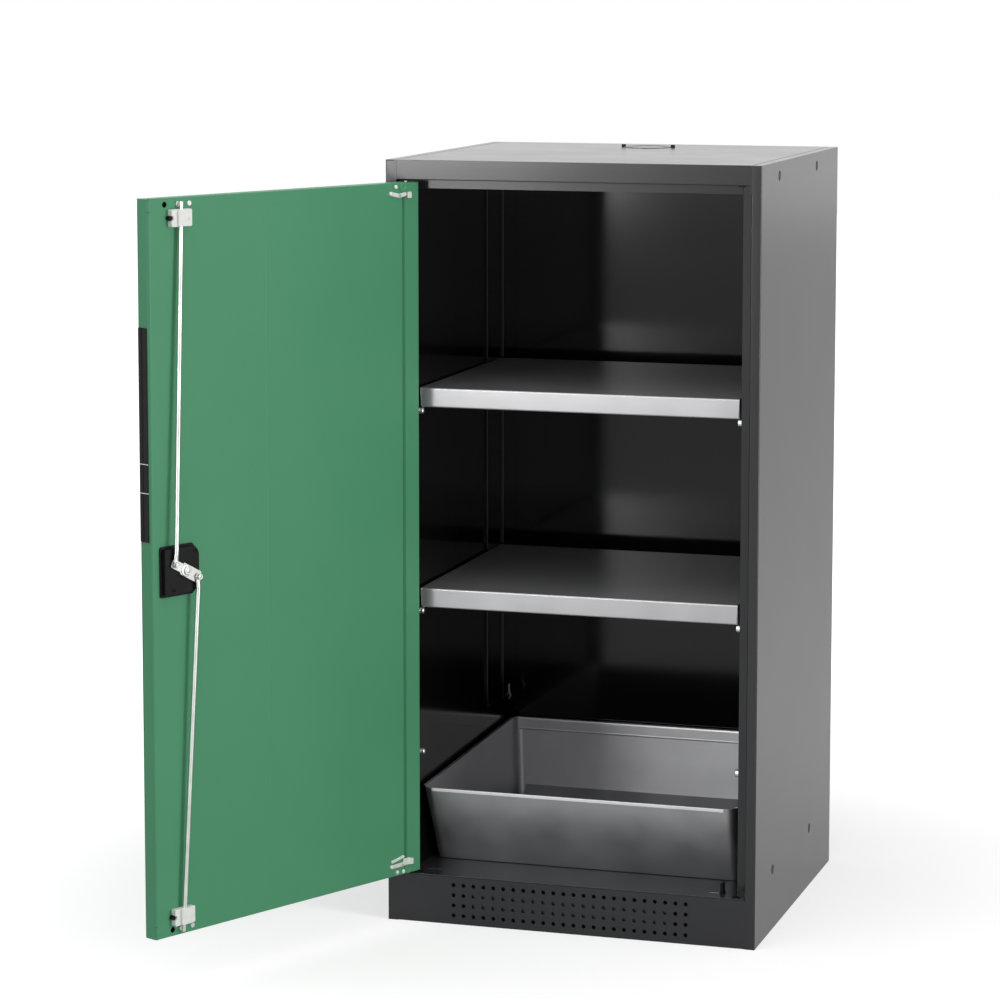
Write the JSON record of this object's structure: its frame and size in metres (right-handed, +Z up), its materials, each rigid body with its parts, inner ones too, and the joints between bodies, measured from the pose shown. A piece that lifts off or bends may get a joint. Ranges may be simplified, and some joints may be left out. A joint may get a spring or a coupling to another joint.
{
  "type": "chemical storage cabinet",
  "caption": "Steel storage cabinet for chemicals with a wing door, folded shelves, a deep sump tray, a perforated plinth and a key lock that drives bolt rods.",
  "frame": {"origin": "on the floor under the middle of the carcass footprint, at the centre of the base rail underside", "axes": "+Z up, the door side faces -Y, +X to the right seen from the front"},
  "size_m": [0.7405, 0.9685, 1.109],
  "materials": {
    "dark_lacquer": "dark grey powder coat",
    "inner_lacquer": "glossy near-black lacquer",
    "door_lacquer": "green powder coat",
    "shelf_lacquer": "satin lacquered zinc sheet",
    "tray_lacquer": "satin rolled steel sheet, clear lacquer",
    "bright_zinc": "bright zinc plating",
    "black_plastic": "black moulded plastic",
    "white_plastic": "white moulded plastic"
  },
  "bodies": {
    "carcass": {"base_rail": "dark_lacquer", "door_buffer": "black_plastic", "duct_cover_left": "inner_lacquer", "duct_cover_right": "inner_lacquer", "exhaust_collar": "dark_lacquer", "floor_panel": "dark_lacquer", "front_top_rail": "dark_lacquer", "hinge_bushing_bottom_left": "black_plastic", "hinge_bushing_bottom_right": "black_plastic", "hinge_bushing_top_left": "black_plastic", "hinge_bushing_top_right": "black_plastic", "inner_wall_left": "inner_lacquer", "inner_wall_right": "inner_lacquer", "plinth_front": "dark_lacquer", "rear_liner": "inner_lacquer", "rear_wall": "dark_lacquer", "shelf_support_lower_left_front": "bright_zinc", "shelf_support_lower_left_rear": "bright_zinc", "shelf_support_lower_right_front": "bright_zinc", "shelf_support_lower_right_rear": "bright_zinc", "shelf_support_spare_left": "bright_zinc", "shelf_support_spare_right": "bright_zinc", "shelf_support_upper_left_front": "bright_zinc", "shelf_support_upper_left_rear": "bright_zinc", "shelf_support_upper_right_front": "bright_zinc", "shelf_support_upper_right_rear": "bright_zinc", "side_wall_left": "dark_lacquer", "side_wall_right": "dark_lacquer", "top_panel": "dark_lacquer", "wall_plug_left_1": "black_plastic", "wall_plug_left_2": "black_plastic", "wall_plug_left_3": "black_plastic", "wall_plug_left_4": "black_plastic", "wall_plug_right_1": "black_plastic", "wall_plug_right_2": "black_plastic", "wall_plug_right_3": "black_plastic", "wall_plug_right_4": "black_plastic"},
    "door": {"door_outer_skin": "door_lacquer", "door_inner_panel": "door_lacquer", "grip_strip": "black_plastic", "hinge_plate_top": "bright_zinc", "hinge_plate_bottom": "bright_zinc", "hinge_pin_top": "bright_zinc", "hinge_pin_bottom": "bright_zinc", "lock_housing": "black_plastic", "lock_rosette": "bright_zinc", "rod_guide_top": "white_plastic", "rod_guide_bottom": "white_plastic", "guide_rivet_top_1": "bright_zinc", "guide_rivet_top_2": "bright_zinc", "guide_rivet_bottom_1": "bright_zinc", "guide_rivet_bottom_2": "bright_zinc"},
    "lock": {"lock_cam": "bright_zinc", "key_plug": "bright_zinc"},
    "upper_bolt": {"upper_rod": "bright_zinc"},
    "lower_bolt": {"lower_rod": "bright_zinc"},
    "upper_shelf": {"shelf_upper": "shelf_lacquer"},
    "lower_shelf": {"shelf_lower": "shelf_lacquer"},
    "tray": {"sump_tray": "tray_lacquer"}
  },
  "joints": [
    {"name": "door_hinge", "type": "hinge", "parent": "carcass", "child": "door", "pos_m": [-0.244, -0.254, 0.5745], "axis": [0, 0, 1], "range_deg": [-4, 116]},
    {"name": "lock_turn", "type": "hinge", "parent": "door", "child": "lock", "pos_m": [-0.42647, -0.66234, 0.57548], "axis": [-0.8988, 0.4384, 0], "range_deg": [0, 75]},
    {"name": "upper_bolt_pivot", "type": "hinge", "parent": "lock", "child": "upper_bolt", "pos_m": [-0.43518, -0.68019, 0.58605], "axis": [-0.8988, 0.4384, 0], "range_deg": [-79, 0]},
    {"name": "lower_bolt_pivot", "type": "hinge", "parent": "lock", "child": "lower_bolt", "pos_m": [-0.41776, -0.64448, 0.56492], "axis": [-0.8988, 0.4384, 0], "range_deg": [-79, 0]},
    {"name": "upper_shelf_lift", "type": "slide", "parent": "carcass", "child": "upper_shelf", "axis": [0, 0, 1], "range_m": [0, 0.02]},
    {"name": "lower_shelf_lift", "type": "slide", "parent": "carcass", "child": "lower_shelf", "axis": [0, 0, 1], "range_m": [0, 0.02]},
    {"name": "tray_lift", "type": "slide", "parent": "carcass", "child": "tray", "axis": [0, 0, 1], "range_m": [0, 0.03]}
  ],
  "couplings": [
    {"joint": "upper_bolt_pivot", "follows": "lock_turn", "ratio": -1.0414},
    {"joint": "lower_bolt_pivot", "follows": "lock_turn", "ratio": -1.041}
  ]
}
